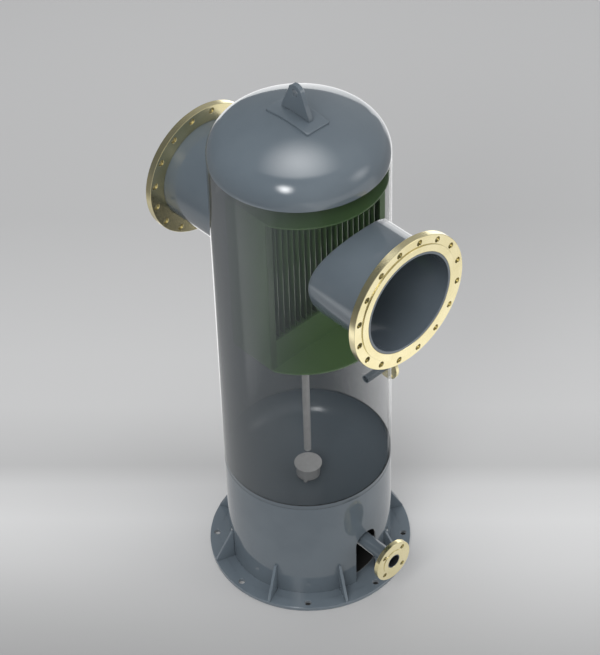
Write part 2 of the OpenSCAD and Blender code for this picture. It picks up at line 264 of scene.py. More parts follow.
def floorMaterial(s, glow):
    material, wire, place = newMaterial("studioFloor")
    side = wire.vectors("DOT_PRODUCT", place, sideAlong)
    far = wire.vectors("DOT_PRODUCT", place, farAlong)
    reach = wire.vectors("LENGTH", place)
    # painted light and shade: the floor's tone changes with distance along farAlong
    start, end = s["lightAndShadeTones"][0][0], s["lightAndShadeTones"][-1][0]
    stops = [((at - start) / (end - start), rgb(tone, tone, tone)) for at, tone in s["lightAndShadeTones"]]
    tone = wire.add("ShaderNodeValToRGB", {"stops": stops}, {0: (far - start) / (end - start)})
    # painted shade: the front of the floor darker on the left
    dim = 1 - (1 - s["frontLeftShade"]) * side.ramp(*s["frontLeftSide"]) * far.ramp(*s["frontLeftFar"])
    tone = wire.add("ShaderNodeHueSaturation", inputs={"Value": dim, "Color": tone})
    # painted shade on the floor under the skirt and in the holes away from the light
    lit = wire.maths("MAXIMUM", reach.ramp(*s["shadeReach"]), side.ramp(*s["shadeSide"]))
    tone = (lit * reach.ramp(*s["skirtReach"])).mix(s["shade"], tone)
    tone = reach.ramp(*s["plainReach"]).mix(tone, s["plain"])
    seen = wire.add("ShaderNodeBsdfDiffuse", inputs={"Color": tone})
    backdrop = wire.add("ShaderNodeEmission", inputs={"Color": sky["back"], "Strength": 1.0})
    fade = reach.ramp(*s["fadeReach"]) * directRay(wire)  # no line at the horizon
    seen = wire.add("ShaderNodeMixShader", inputs={0: fade, 1: seen, 2: backdrop})
    shine = floorShine(glow, side, far, reach)
    gloss = wire.add("ShaderNodeEmission", inputs={"Color": shine, "Strength": glow["back"]})
    isGloss = wire.add("ShaderNodeLightPath", out="Is Glossy Ray")
    finishMaterial(wire, wire.add("ShaderNodeMixShader", inputs={0: isGloss, 1: seen, 2: gloss}))
    return material


def stageMesh(name, bm, material):
    mesh = bpy.data.meshes.new(name)
    bm.to_mesh(mesh)
    bm.free()
    mesh.materials.append(material)
    made = bpy.data.objects.new(name, mesh)
    scene.collection.objects.link(made)
    return made


def makeFloor(s, glow):
    bm = bmesh.new()
    bmesh.ops.create_circle(bm, cap_ends=True, segments=s["edges"], radius=s["radius"])
    stageMesh("floor", bm, floorMaterial(s, glow))


def makeSky(s):
    world = bpy.data.worlds.new("studioSky")
    world.use_nodes = True
    world.node_tree.nodes.clear()
    wire = Wire(world.node_tree)
    way = wire.add("ShaderNodeTexCoord", out="Generated")
    side = wire.vectors("DOT_PRODUCT", way, sideAlong)
    glossy = side.ramp(*s["turn"]).mix(s["left"], s["right"])
    isGloss = wire.add("ShaderNodeLightPath", out="Is Glossy Ray")
    lit = directRay(wire).mix(isGloss.mix(s["soft"], glossy), s["back"])
    light = wire.add("ShaderNodeBackground", inputs={"Color": lit, "Strength": 1.0})
    wire.add("ShaderNodeOutputWorld", inputs={"Surface": light})
    scene.world = world


def makeLamp(s):  # soft light and shadow, not mirrored in the gloss
    data = bpy.data.lights.new(s["name"], "AREA")
    data.shape = "DISK"
    data.size = s["size"]
    data.energy = s["watts"]
    made = bpy.data.objects.new(s["name"], data)
    way = Vector(s["way"]).normalized()
    turn = way.to_track_quat("Z", "Y").to_matrix().to_4x4()
    made.matrix_world = Matrix.Translation(lampAim + way * s["far"]) @ turn
    made.visible_camera = False
    made.visible_glossy = False
    scene.collection.objects.link(made)


def panelMaterial(s):
    material, wire, place = newMaterial(s["name"] + "Glow")
    fade = wire.vectors("LENGTH", place).ramp(*s["fade"], 1.0, 0.0) ** s["peak"]
    fade = fade * wire.add("ShaderNodeLightPath", out="Glossy Depth").ramp(*mirrorDepth)
    glow = wire.add("ShaderNodeEmission", inputs={"Color": rgb(1, 1, 1), "Strength": s["glow"]})
    gone = wire.add("ShaderNodeBsdfTransparent")
    finishMaterial(wire, wire.add("ShaderNodeMixShader", inputs={0: fade, 1: gone, 2: glow}))
    return material


def makePanel(s):  # a soft panel that only the gloss mirrors
    bm = bmesh.new()
    bmesh.ops.create_grid(bm, x_segments=1, y_segments=1, size=0.5)
    made = stageMesh(s["name"], bm, panelMaterial(s))
    way = Vector(s["way"]).normalized()
    side = Vector(sideAlong)
    right = (side - way * side.dot(way)).normalized()
    turn = Matrix((right, way.cross(right), way)).transposed().to_4x4()
    turn = turn @ Matrix.Rotation(math.radians(s["roll"]), 4, "Z")
    place = Matrix.Translation(Vector(s["aim"]) + way * s["far"])
    made.matrix_world = place @ turn @ Matrix.Diagonal((*s["size"], 1, 1))
    made.visible_camera = False
    made.visible_diffuse = False
    made.visible_transmission = False
    made.visible_shadow = False


makeFloor(floor, floorGlow)
makeSky(sky)
for lamp in lamps:
    makeLamp(lamp)
for panel in panels:
    makePanel(panel)
print("studio lit")

# finishes
paint = {
    "colour": rgb(0.105, 0.128, 0.148),
    "shade": rgb(0.092, 0.113, 0.132),
    # painted shade: near-black inside the skirt, in the drain pipe's bore and as a line on the bottom head's
    # rim
    "deepShade": rgb(0.022, 0.024, 0.025),
    # painted shade: the bottom head's inside, darker than the other grey paint
    "sump": rgb(0.066, 0.081, 0.094),
    # painted shade in the two main pipes' bores, darker towards the top
    "boreLow": rgb(0.100, 0.122, 0.144),
    "boreShadedTop": rgb(0.050, 0.061, 0.072),
    "boreBlend": (-0.12, 0.10),  # painted shade: from the low colour to the darker top one, about the axis
    "skin": 0.0006,  # depth in which an inner colour sets in
    "roughness": 0.045,
    "roughSpread": 0.04,
    "ior": 1.55,
    "patchScale": 3.2,
    "patchRange": (0.35, 0.65),
    "peelScale": 420.0,
    "peelStrength": 0.35,
    "peelDepth": 0.00006,
    "rimShadeRadius": 0.3049,  # bottom head: painted shade, a dark line on its rim
    "sumpRadius": 0.3,
    "sumpDull": 0.09,
    # painted shade inside the skirt, from this radius in
    "skirtShadeRadius": 0.302,
    # painted light: the skirt, the base ring and its gussets lighter than the other grey paint
    "skirtPaintedLight": 1.12,
    "basePaintedLight": 1.28,
    "pipeSkin": 0.0086,  # how far inside the pipes the bore's painted shade starts
    # painted shade in the drain pipe's bore
    "drainShadeRadius": 0.0254,
}
gold = {
    "colour": rgb(0.86, 0.775, 0.49),
    "shade": rgb(0.77, 0.68, 0.385),
    "roughness": 0.20,
    "roughSpread": 0.06,
    "patchScale": 14.0,
    "patchRange": (0.3, 0.7),
    "patchShare": 0.7,  # the turned lines have the rest
    "sheenScale": 90.0,
    "sheenShare": 0.6,
    "grooves": 0.0011,  # spacing of the turned lines
    "grooveStrength": 0.25,
    "grooveDepth": 0.00002,
}
leaf = {
    "colour": rgb(0.052, 0.098, 0.034),
    "shade": rgb(0.040, 0.078, 0.028),
    # the vanes' outlet edge: bare, and lighter as a painted highlight
    "edge": rgb(0.070, 0.098, 0.058),
    "edgeRough": 0.10,
    "edgeIor": 1.85,
    "edgeSkin": 0.0004,
    "ior": 1.46,
    "roughness": 0.34,
    "roughSpread": 0.10,
    "patchScale": 5.0,
    "patchRange": (0.3, 0.7),
    "patchShare": 0.8,  # the fine grain has the rest
    "fineScale": 180.0,
    "fineStrength": 0.2,
    "fineDepth": 0.00008,
    # painted light and shade: the blank and the bottom plate lighter, the right face strip darker, the vanes
    # lighter
    "blankPaintedLight": 1.16,
    "stripPaintedShade": 0.78,
    "vanePaintedLight": 1.18,
}
pale = {
    "colour": rgb(0.275, 0.275, 0.272),
    "shade": rgb(0.24, 0.24, 0.237),
    "roughness": 0.42,
    "roughSpread": 0.10,
    "grainScale": 60.0,
    "grainRange": (0.3, 0.7),
    "grainStrength": 0.15,
    "grainDepth": 0.0001,
}
clear = {
    "colour": rgb(0.073, 0.083, 0.090),
    "roughness": 0.05,
    "roughSpread": 0.03,
    "hazeScale": 2.2,
    "ior": 1.5,
    "clearWay": (0.985, 0.174, 0.0),  # the side on which the shell is clear
    "radius": 0.306,
    "clearAt": 1.05,
    "denseAt": -0.48,
    "clear": 0.03,
    "dense": 0.97,
    "facing": 0.5,
    "edge": (0.81, 0.96),
    "edgeClear": 0.55,
}


def principled(wire, **sockets):  # Base_Color stands for Base Color
    inputs = {key.replace("_", " "): value for key, value in sockets.items()}
    finishMaterial(wire, wire.add("ShaderNodeBsdfPrincipled", inputs=inputs))


def paintMaterial(s, name, paintedBrightness=1.0, inside=(), axisZ=None, dull=0.0):
    material, wire, place = newMaterial(name)
    patch = noise(place, s["patchScale"])
    peel = noise(place, s["peelScale"], detail=1.0)
    colour = patch.ramp(*s["patchRange"]).mix(s["shade"], s["colour"])
    # painted light and shade: the colour made lighter or darker by this factor
    colour = wire.add("ShaderNodeHueSaturation", inputs={"Value": paintedBrightness, "Color": colour})
    x, y, z = axes(place)
    across = x if axisZ is None else z - axisZ  # the vessel's axis, or a level one along X
    radius = (across * across + y * y) ** 0.5
    for reach, lower, upper in inside:  # painted shade: darker colours nearer to the axis
        inner = across.ramp(*s["boreBlend"]).mix(lower, upper)
        colour = radius.ramp(reach, reach + s["skin"]).mix(inner, colour)
    rough = s["roughness"] + dull + s["roughSpread"] * patch
    normal = bump(peel, s["peelStrength"], s["peelDepth"])
    principled(wire, Base_Color=colour, Roughness=rough, IOR=s["ior"], Normal=normal)
    return material


def goldMaterial(s, name, centre, along):
    material, wire, place = newMaterial(name)
    offset = wire.vectors("SUBTRACT", place, centre)
    radius = wire.vectors("LENGTH", wire.vectors("CROSS_PRODUCT", offset, along))
    turned = wire.maths("SINE", radius * (2 * math.pi / s["grooves"])) * 0.5 + 0.5
    patch = noise(place, s["patchScale"]).ramp(*s["patchRange"])
    sheen = noise(place, s["sheenScale"], detail=2.0)
    share = patch * s["patchShare"] + turned * (1 - s["patchShare"])
    colour = share.mix(s["shade"], s["colour"])
    spread = sheen * s["sheenShare"] + turned * (1 - s["sheenShare"])
    rough = s["roughness"] + s["roughSpread"] * spread
    normal = bump(turned, s["grooveStrength"], s["grooveDepth"])
    principled(wire, Base_Color=colour, Roughness=rough, Metallic=1.0, Normal=normal)
    return material


def leafMaterial(s, name, paintedBrightness=1.0, edgeFrom=None):
    material, wire, place = newMaterial(name)
    patch = noise(place, s["patchScale"]).ramp(*s["patchRange"])
    fine = noise(place, s["fineScale"], detail=2.0)
    share = patch * s["patchShare"] + fine * (1 - s["patchShare"])
    colour = share.mix(s["shade"], s["colour"])
    rough = s["roughness"] + s["roughSpread"] * fine
    ior = s["ior"]
    if edgeFrom is not None:  # bare cut edge at the outlet end of each vane, also painted lighter as a painted highlight
        bareHighlight = axes(place)[0].ramp(edgeFrom, edgeFrom + s["edgeSkin"])
        colour = bareHighlight.mix(colour, s["edge"])
        rough = rough + (s["edgeRough"] - rough) * bareHighlight
        ior = s["edgeIor"]
    # painted light and shade: the colour made lighter or darker by this factor
    colour = wire.add("ShaderNodeHueSaturation", inputs={"Value": paintedBrightness, "Color": colour})
    normal = bump(fine, s["fineStrength"], s["fineDepth"])
    principled(wire, Base_Color=colour, Roughness=rough, IOR=ior, Normal=normal)
    return material


def paleMaterial(s):
    material, wire, place = newMaterial("paleSteel")
    grain = noise(place, s["grainScale"])
    colour = grain.ramp(*s["grainRange"]).mix(s["shade"], s["colour"])
    rough = s["roughness"] + s["roughSpread"] * grain
    normal = bump(grain, s["grainStrength"], s["grainDepth"])
    principled(wire, Base_Color=colour, Roughness=rough, Normal=normal)
    return material


def clearMaterial(s):
    material, wire, place = newMaterial("clearShell")
    side = wire.vectors("DOT_PRODUCT", place, s["clearWay"]) / s["radius"]
    wall = side.ramp(s["clearAt"], s["denseAt"], s["clear"], s["dense"])
    tint = 1 - (1 - wall) ** 0.5  # each of the wall's two faces
    facing = wire.add("ShaderNodeLayerWeight", inputs={"Blend": s["facing"]}, out="Facing")
    rim = facing.ramp(*s["edge"]) * (s["edgeClear"] + (1 - s["edgeClear"]) * wall)
    alpha = tint + (1 - tint) * rim
    rough = s["roughness"] + s["roughSpread"] * noise(place, s["hazeScale"], detail=3.0)
    principled(wire, Base_Color=s["colour"], Roughness=rough, IOR=s["ior"], Alpha=alpha)
    return material


def makePaints(s):  # by the pieces that they cover
    # painted shade inside the parts: darker colours nearer to each axis
    deepShade, sump = s["deepShade"], s["sump"]
    sumpInside = [(s["rimShadeRadius"], deepShade, deepShade), (s["sumpRadius"], sump, sump)]
    low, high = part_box("outlet_pipe")
    pipeZ = (low.z + high.z) / 2
    boreShade = [((high.y - low.y) / 2 - s["pipeSkin"], s["boreLow"], s["boreShadedTop"])]
    low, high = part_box("drain_flange")
    drainZ = (low.z + high.z) / 2
    drainShade = [(s["drainShadeRadius"], deepShade, deepShade)]
    return {
        "plain": paintMaterial(s, "greyPaint"),
        "sump": paintMaterial(s, "sumpPaint", inside=sumpInside, dull=s["sumpDull"]),
        "skirt": paintMaterial(s, "skirtPaint", s["skirtPaintedLight"], [(s["skirtShadeRadius"], deepShade, deepShade)]),
        "pipe": paintMaterial(s, "pipePaint", inside=boreShade, axisZ=pipeZ),
        "drain": paintMaterial(s, "drainPaint", inside=drainShade, axisZ=drainZ),
        "base": paintMaterial(s, "basePaint", s["basePaintedLight"]),
    }


paints = makePaints(paint)
greenSheet = leafMaterial(leaf, "greenSheet")
# lighter and darker copies of the green, as painted light and shade
blankSheet = leafMaterial(leaf, "blankSheet", leaf["blankPaintedLight"])
stripSheet = leafMaterial(leaf, "stripSheet", leaf["stripPaintedShade"])
paleSteel = paleMaterial(pale)
clearShell = clearMaterial(clear)
print("finishes made")

# shapes
plainSharp = 28.0  # degrees from which an edge stays sharp


def loft(bm, loops, closed=False):  # quads between loops that have as many points, or a single one
    rows = [[bm.verts.new(point) for point in loop] for loop in loops]
    pairs = list(zip(rows, rows[1:]))
    if closed:
        pairs.append((rows[-1], rows[0]))
    for low, high in pairs:
        count = max(len(low), len(high))
        for i in range(count):
            j = (i + 1) % count
            corners = [low[i % len(low)], low[j % len(low)], high[j % len(high)], high[i % len(high)]]
            bm.faces.new(list(dict.fromkeys(corners)))


def circleLoop(radius, height, count):
    if radius <= 0:
        return [Vector((0, 0, height))]
    step = 2 * math.pi / count
    return [Vector((radius * math.cos(i * step), radius * math.sin(i * step), height)) for i in range(count)]


def spin(bm, profile, count, closed=False):
    loft(bm, [circleLoop(r, z, count) for r, z in profile], closed)


def arc(cx, cy, radius, fromAngle, toAngle, count):
    step = (toAngle - fromAngle) / count
    angles = [math.radians(fromAngle + i * step) for i in range(count + 1)]
    return [(cx + radius * math.cos(a), cy + radius * math.sin(a)) for a in angles]


def smoothFaces(mesh, sharp):
    mesh.shade_smooth()
    mesh.set_sharp_from_angle(angle=math.radians(sharp))


def joinFrame(made, replaced):
    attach(made, "root")
    if replaced:
        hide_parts(*replaced)


def finishPiece(name, bm, material, replaced, sharp=plainSharp, place=None):
    bmesh.ops.remove_doubles(bm, verts=bm.verts, dist=1e-6)
    bmesh.ops.recalc_face_normals(bm, faces=bm.faces)
    if place is not None:
        bm.transform(place)
    mesh = bpy.data.meshes.new(name)
    bm.to_mesh(mesh)
    bm.free()
    made = bpy.data.objects.new(name, mesh)
    scene.collection.objects.link(made)
    smoothFaces(mesh, sharp)
    mesh.materials.append(material)
    joinFrame(made, replaced)


# top head
head = {
    "crown": 0.550, "knuckle": 0.105, "wall": 0.006, "rim": 0.007, "round": 0.0012,
    "crownSteps": 28, "kneeSteps": 20, "lipSteps": 4, "steps": 192,
}


def headProfile(s, radius, kneeZ):
    middle = radius - s["knuckle"]
    drop = math.sqrt((s["crown"] - s["knuckle"]) ** 2 - middle ** 2)
    turn = math.degrees(math.atan2(drop, middle))
    wall, r = s["wall"], s["round"]

    def crownArc(inset, start, end):
        return arc(0, kneeZ - drop, s["crown"] - inset, start, end, s["crownSteps"])

    def kneeArc(inset, start, end):
        return arc(middle, kneeZ, s["knuckle"] - inset, start, end, s["kneeSteps"])

    outer = crownArc(0, 90, turn) + kneeArc(0, turn, 0)[1:]
    inner = kneeArc(wall, 0, turn) + crownArc(wall, turn, 90)[1:]
    lipZ = kneeZ - s["rim"] + r
    lip = arc(radius - r, lipZ, r, 0, -90, s["lipSteps"])
    lip += arc(radius - wall + r, lipZ, r, -90, -180, s["lipSteps"])
    profile = outer + lip + inner
    profile[0] = (0.0, profile[0][1])  # both ends lie on the axis
    profile[-1] = (0.0, profile[-1][1])
    return profile


def makeHead(s):
    low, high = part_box("top_head")
    bm = bmesh.new()
    spin(bm, headProfile(s, high.x, low.z + s["rim"]), s["steps"])
    finishPiece("topHead", bm, paints["plain"], ["top_head"])


makeHead(head)
print("top head spun")

# lifting lug and its pad
pad = {
    "thick": 0.008, "corner": 0.008, "cornerSteps": 8, "sideStep": 0.012, "gap": 0.0003, "sharp": 50.0,
    "edge": 0.0022, "edgeAngles": (0, 0.4, 0.8, 1.2, math.pi / 2),
    "underRings": (0.75, 0.5, 0.25, 0.0), "overRings": (0.2, 0.4, 0.6, 0.8),
}
lug = {
    "foot": 0.006, "round": 0.032, "roundSteps": 24, "footSteps": 20,
    "eye": 0.013, "chamfer": 0.0016, "gap": 0.0003,
}
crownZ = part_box("top_head")[1].z - head["crown"]  # centre of the crown's sphere


def onCrown(x, y, radius):
    return Vector((x, y, crownZ + math.sqrt(radius ** 2 - x * x - y * y)))


def padOutline(s, halfX, halfY):
    r = s["corner"]
    flat = []
    for sx, sy, start in [(1, 1, 0), (-1, 1, 90), (-1, -1, 180), (1, -1, 270)]:
        flat += arc(sx * (halfX - r), sy * (halfY - r), r, start, start + 90, s["cornerSteps"])
    outline = []
    for (ax, ay), (bx, by) in zip(flat, flat[1:] + flat[:1]):  # long straight sides follow the crown too
        parts = max(1, round(math.hypot(bx - ax, by - ay) / s["sideStep"]))
        outline += [(ax + (bx - ax) * i / parts, ay + (by - ay) * i / parts) for i in range(parts)]
    return outline


def makePad(s):
    halfX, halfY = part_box("lug_pad")[1].xy
    under = head["crown"] + s["gap"]
    over = under + s["thick"]
    edge = s["edge"]
    outline = padOutline(s, halfX, halfY)

    def loop(inset, radius):
        scaleX, scaleY = 1 - inset / halfX, 1 - inset / halfY
        return [onCrown(x * scaleX, y * scaleY, radius) for x, y in outline]

    rounded = [(edge * (1 - math.cos(a)), over - edge * (1 - math.sin(a))) for a in s["edgeAngles"]]
    loops = [[onCrown(0, 0, under)]]
    loops += [loop(halfY * share, under) for share in s["underRings"]]
    loops += [loop(inset, radius) for inset, radius in rounded]
    loops += [loop(edge + (halfY - edge) * share, over) for share in s["overRings"]]
    loops.append([onCrown(0, 0, over)])
    bm = bmesh.new()
    loft(bm, loops)
    finishPiece("lugPad", bm, paints["plain"], ["lug_pad"], s["sharp"])


def lugOutline(s, half, eyeZ):
    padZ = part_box("lug_pad")[1].z
    footZ = padZ + s["foot"]
    seat = padZ - crownZ + s["gap"]
    side = math.hypot(half, eyeZ - footZ)
    lean = math.degrees(math.atan2(footZ - eyeZ, half) + math.acos(s["round"] / side))
    outline = arc(0, eyeZ, s["round"], lean, 180 - lean, s["roundSteps"])
    outline.append((-half, footZ))
    bottom = [-half + 2 * half * i / s["footSteps"] for i in range(s["footSteps"] + 1)]
    outline += [(x, onCrown(x, 0, seat).z) for x in bottom]
    outline.append((half, footZ))
    return outline


def makeLug(s):
    half, thick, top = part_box("lifting_lug")[1]
    eyeZ = top - s["round"]
    outline = lugOutline(s, half, eyeZ)
    ways = [Vector((x, z - eyeZ)).normalized() for x, z in outline]
    c, r = s["chamfer"], s["eye"]

    def outer(inset, y):
        return [Vector((x - w.x * inset, y, z - w.y * inset)) for (x, z), w in zip(outline, ways)]

    def eye(radius, y):
        return [Vector((w.x * radius, y, eyeZ + w.y * radius)) for w in ways]

    loops = [outer(0, c - thick), outer(c, -thick), eye(r + c, -thick), eye(r, c - thick)]
    loops += [eye(r, thick - c), eye(r + c, thick), outer(c, thick), outer(0, thick - c)]
    bm = bmesh.new()
    loft(bm, loops, True)
    finishPiece("liftingLug", bm, paints["plain"], ["lifting_lug"])


makePad(pad)
makeLug(lug)
print("lug set on its pad")

# drilled rings: the four flanges and the base ring
mainFlange = {"holes": 16, "hole": 0.011, "holeEdge": 0.020, "raised": 0.004, "chamfer": 0.0012}
drainFlange = {"holes": 4, "hole": 0.009, "holeEdge": 0.020, "raised": 0.002, "chamfer": 0.001}
gaugeFlange = {"holes": 4, "hole": 0.007, "holeEdge": 0.015, "raised": 0.002, "chamfer": 0.0008}
anchorRing = {"holes": 8, "hole": 0.012, "holeEdge": 0.027, "raised": 0.0, "chamfer": 0.0015, "lip": 0.036}
ringSteps = {"round": 160, "least": 10, "side": 8}
faceGap = 0.004  # from the raised face to the holes
faceRound = 0.6  # its edge, as a share of the chamfer


def drilledRing(bm, s, bore, rim, thick, firstAngle):  # face at z = 0, back at z = -thick
    c, n, hole = s["chamfer"], s["holes"], s["hole"]
    arcParts, sideParts = max(ringSteps["least"], ringSteps["round"] // n), ringSteps["side"]
    circleR = rim - s["holeEdge"]
    faceR = circleR - hole - faceGap
    front, back = -s["raised"], -thick
    sector = 2 * math.pi / n
    outR = rim - c

    def sectorLoop(k, z):
        middle = firstAngle + k * sector
        points = [(faceR, -0.5 + i / arcParts) for i in range(arcParts)]
        points += [(faceR + (outR - faceR) * i / sideParts, 0.5) for i in range(sideParts)]
        points += [(outR, 0.5 - i / arcParts) for i in range(arcParts)]
        points += [(outR - (outR - faceR) * i / sideParts, -0.5) for i in range(sideParts)]
        turned = [(r, middle + share * sector) for r, share in points]
        return [Vector((r * math.cos(a), r * math.sin(a), z)) for r, a in turned]

    def holeLoop(k, boundary, radius, z):
        middle = firstAngle + k * sector
        centre = Vector((circleR * math.cos(middle), circleR * math.sin(middle), 0))
        ways = [(p - centre).to_2d().normalized() for p in boundary]
        return [Vector((centre.x + w.x * radius, centre.y + w.y * radius, z)) for w in ways]

    for k in range(n):
        top, bottom = sectorLoop(k, front), sectorLoop(k, back)
        loops = [top, holeLoop(k, top, hole + c, front), holeLoop(k, top, hole, front - c)]
        loops += [holeLoop(k, top, hole, back + c), holeLoop(k, top, hole + c, back), bottom]
        loft(bm, loops)
    profile = [(outR, front), (rim, front - c), (rim, back + c), (outR, back)]
    inner = [(faceR, back), (bore + c, back), (bore, back + c), (bore, -c), (bore + c, 0)]
    if s["raised"] > 0:
        inner += [(faceR - c * faceRound, 0), (faceR, -c * faceRound)]
    inner.append((faceR, front))
    turn = Matrix.Rotation(firstAngle - sector / 2, 3, "Z")
    for rows in (profile, inner):
        loft(bm, [[turn @ p for p in circleLoop(r, z, n * arcParts)] for r, z in rows])


# nozzles: which way each looks, its flange, and the wall and finish of its pipe
nozzles = {
    "outlet": {"axis": "X", "flip": False, "flange": mainFlange, "wall": 0.009, "paint": paints["pipe"]},
    "inlet": {"axis": "X", "flip": True, "flange": mainFlange, "wall": 0.009, "paint": paints["pipe"]},
    "drain": {"axis": "X", "flip": False, "flange": drainFlange, "wall": 0.0035, "paint": paints["drain"]},
    "gauge": {"axis": "Y", "flip": False, "flange": gaugeFlange, "wall": 0.0035, "paint": paints["plain"]},
}
pipeEnd = {"gap": 0.0003, "setIn": 0.0006, "round": 0.0008, "steps": 160}


def nozzleFace(name, s):  # flange's thickness and rim, pipe's radius and set-back, and the face's place
    low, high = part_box(name + "_flange")
    pipeLow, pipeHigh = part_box(name + "_pipe")
    centre = (low + high) / 2
    if s["axis"] == "X":
        centre.x = low.x if s["flip"] else high.x
        thick, rim, pipe = high.x - low.x, (high.y - low.y) / 2, (pipeHigh.y - pipeLow.y) / 2
        setBack = pipeLow.x - low.x if s["flip"] else high.x - pipeHigh.x
        turn = Matrix.Rotation(math.radians(-90 if s["flip"] else 90), 4, "Y")
    else:
        centre.y = high.y
        thick, rim, pipe = high.y - low.y, (high.x - low.x) / 2, (pipeHigh.x - pipeLow.x) / 2
        setBack = high.y - pipeHigh.y
        turn = Matrix.Rotation(math.radians(-90), 4, "X")
    return thick, rim, pipe, setBack, centre, Matrix.Translation(centre) @ turn


def makeFlange(name, s):
    thick, rim, pipe, _, centre, place = nozzleFace(name, s)
    bm = bmesh.new()
    drilledRing(bm, s["flange"], pipe + pipeEnd["gap"], rim, thick, math.pi / s["flange"]["holes"])
    along = (1, 0, 0) if s["axis"] == "X" else (0, 1, 0)
    material = goldMaterial(gold, name + "FlangeGold", centre, along)
    finishPiece(name + "Flange", bm, material, [name + "_flange"], place=place)


def makeEnd(name, s, end):  # brings a pipe's end up to the face
    _, _, outer, setBack, _, place = nozzleFace(name, s)
    inner, back, front, r = outer - s["wall"], end["gap"] - setBack, -end["setIn"], end["round"]
    profile = [(inner, back), (outer, back), (outer, front - r)]
    profile += [(outer - r, front), (inner + r, front), (inner, front - r)]
    bm = bmesh.new()
    spin(bm, profile, end["steps"], True)
    finishPiece(name + "End", bm, s["paint"], [], place=place)


def makeBaseRing(s):
    low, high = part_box("base_ring")
    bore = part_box("skirt")[1].x - s["lip"]
    bm = bmesh.new()
    drilledRing(bm, s, bore, high.x, high.z - low.z, 0.0)
    place = Matrix.Translation((0, 0, high.z))
    finishPiece("baseRing", bm, paints["base"], ["base_ring"], place=place)


for name, nozzle in nozzles.items():
    makeFlange(name, nozzle)
for name, nozzle in nozzles.items():
    makeEnd(name, nozzle, pipeEnd)
makeBaseRing(anchorRing)
print("flanges and base ring drilled")


# node trees for what repeats
def newTree(name, inputs):
    tree = bpy.data.node_groups.new(name, "GeometryNodeTree")
    tree.interface.new_socket(name="Geometry", in_out="INPUT", socket_type="NodeSocketGeometry")
    for label, kind in inputs:
        tree.interface.new_socket(name=label, in_out="INPUT", socket_type=kind)
    tree.interface.new_socket(name="Geometry", in_out="OUTPUT", socket_type="NodeSocketGeometry")
    source = tree.nodes.new("NodeGroupInput")
    taps = {output.name: Wire(tree, output) for output in source.outputs if output.name}
    return tree, Wire(tree), taps


def endTree(wire, geometry, material):
    real = wire.add("GeometryNodeRealizeInstances", inputs={0: geometry})
    dressed = wire.add("GeometryNodeSetMaterial", inputs={"Geometry": real, "Material": material})
    wire.add("NodeGroupOutput", inputs={0: dressed})


def runTree(name, tree, values, mesh=None):  # the evaluated tree as a plain mesh object
    holder = bpy.data.objects.new(name, mesh or bpy.data.meshes.new(name + "Seed"))
    scene.collection.objects.link(holder)
    modifier = holder.modifiers.new("nodes", "NODES")
    modifier.node_group = tree
    for item in tree.interface.items_tree:
        if item.in_out == "INPUT" and item.name in values:
            modifier[item.identifier] = values[item.name]
    bpy.context.view_layer.update()
    graph = bpy.context.evaluated_depsgraph_get()
    plain = bpy.data.meshes.new_from_object(holder.evaluated_get(graph))
    holder.modifiers.clear()
    holder.data = plain
    plain.name = name
    return holder


# vanes
vane = {
    "count": 19, "pitch": 0.025, "sheet": 0.002, "bends": 4, "swing": 0.007,
    "run": 0.024, "hookGap": 0.005, "hookLength": 0.014, "bareHighlightEdge": 0.0006,
}


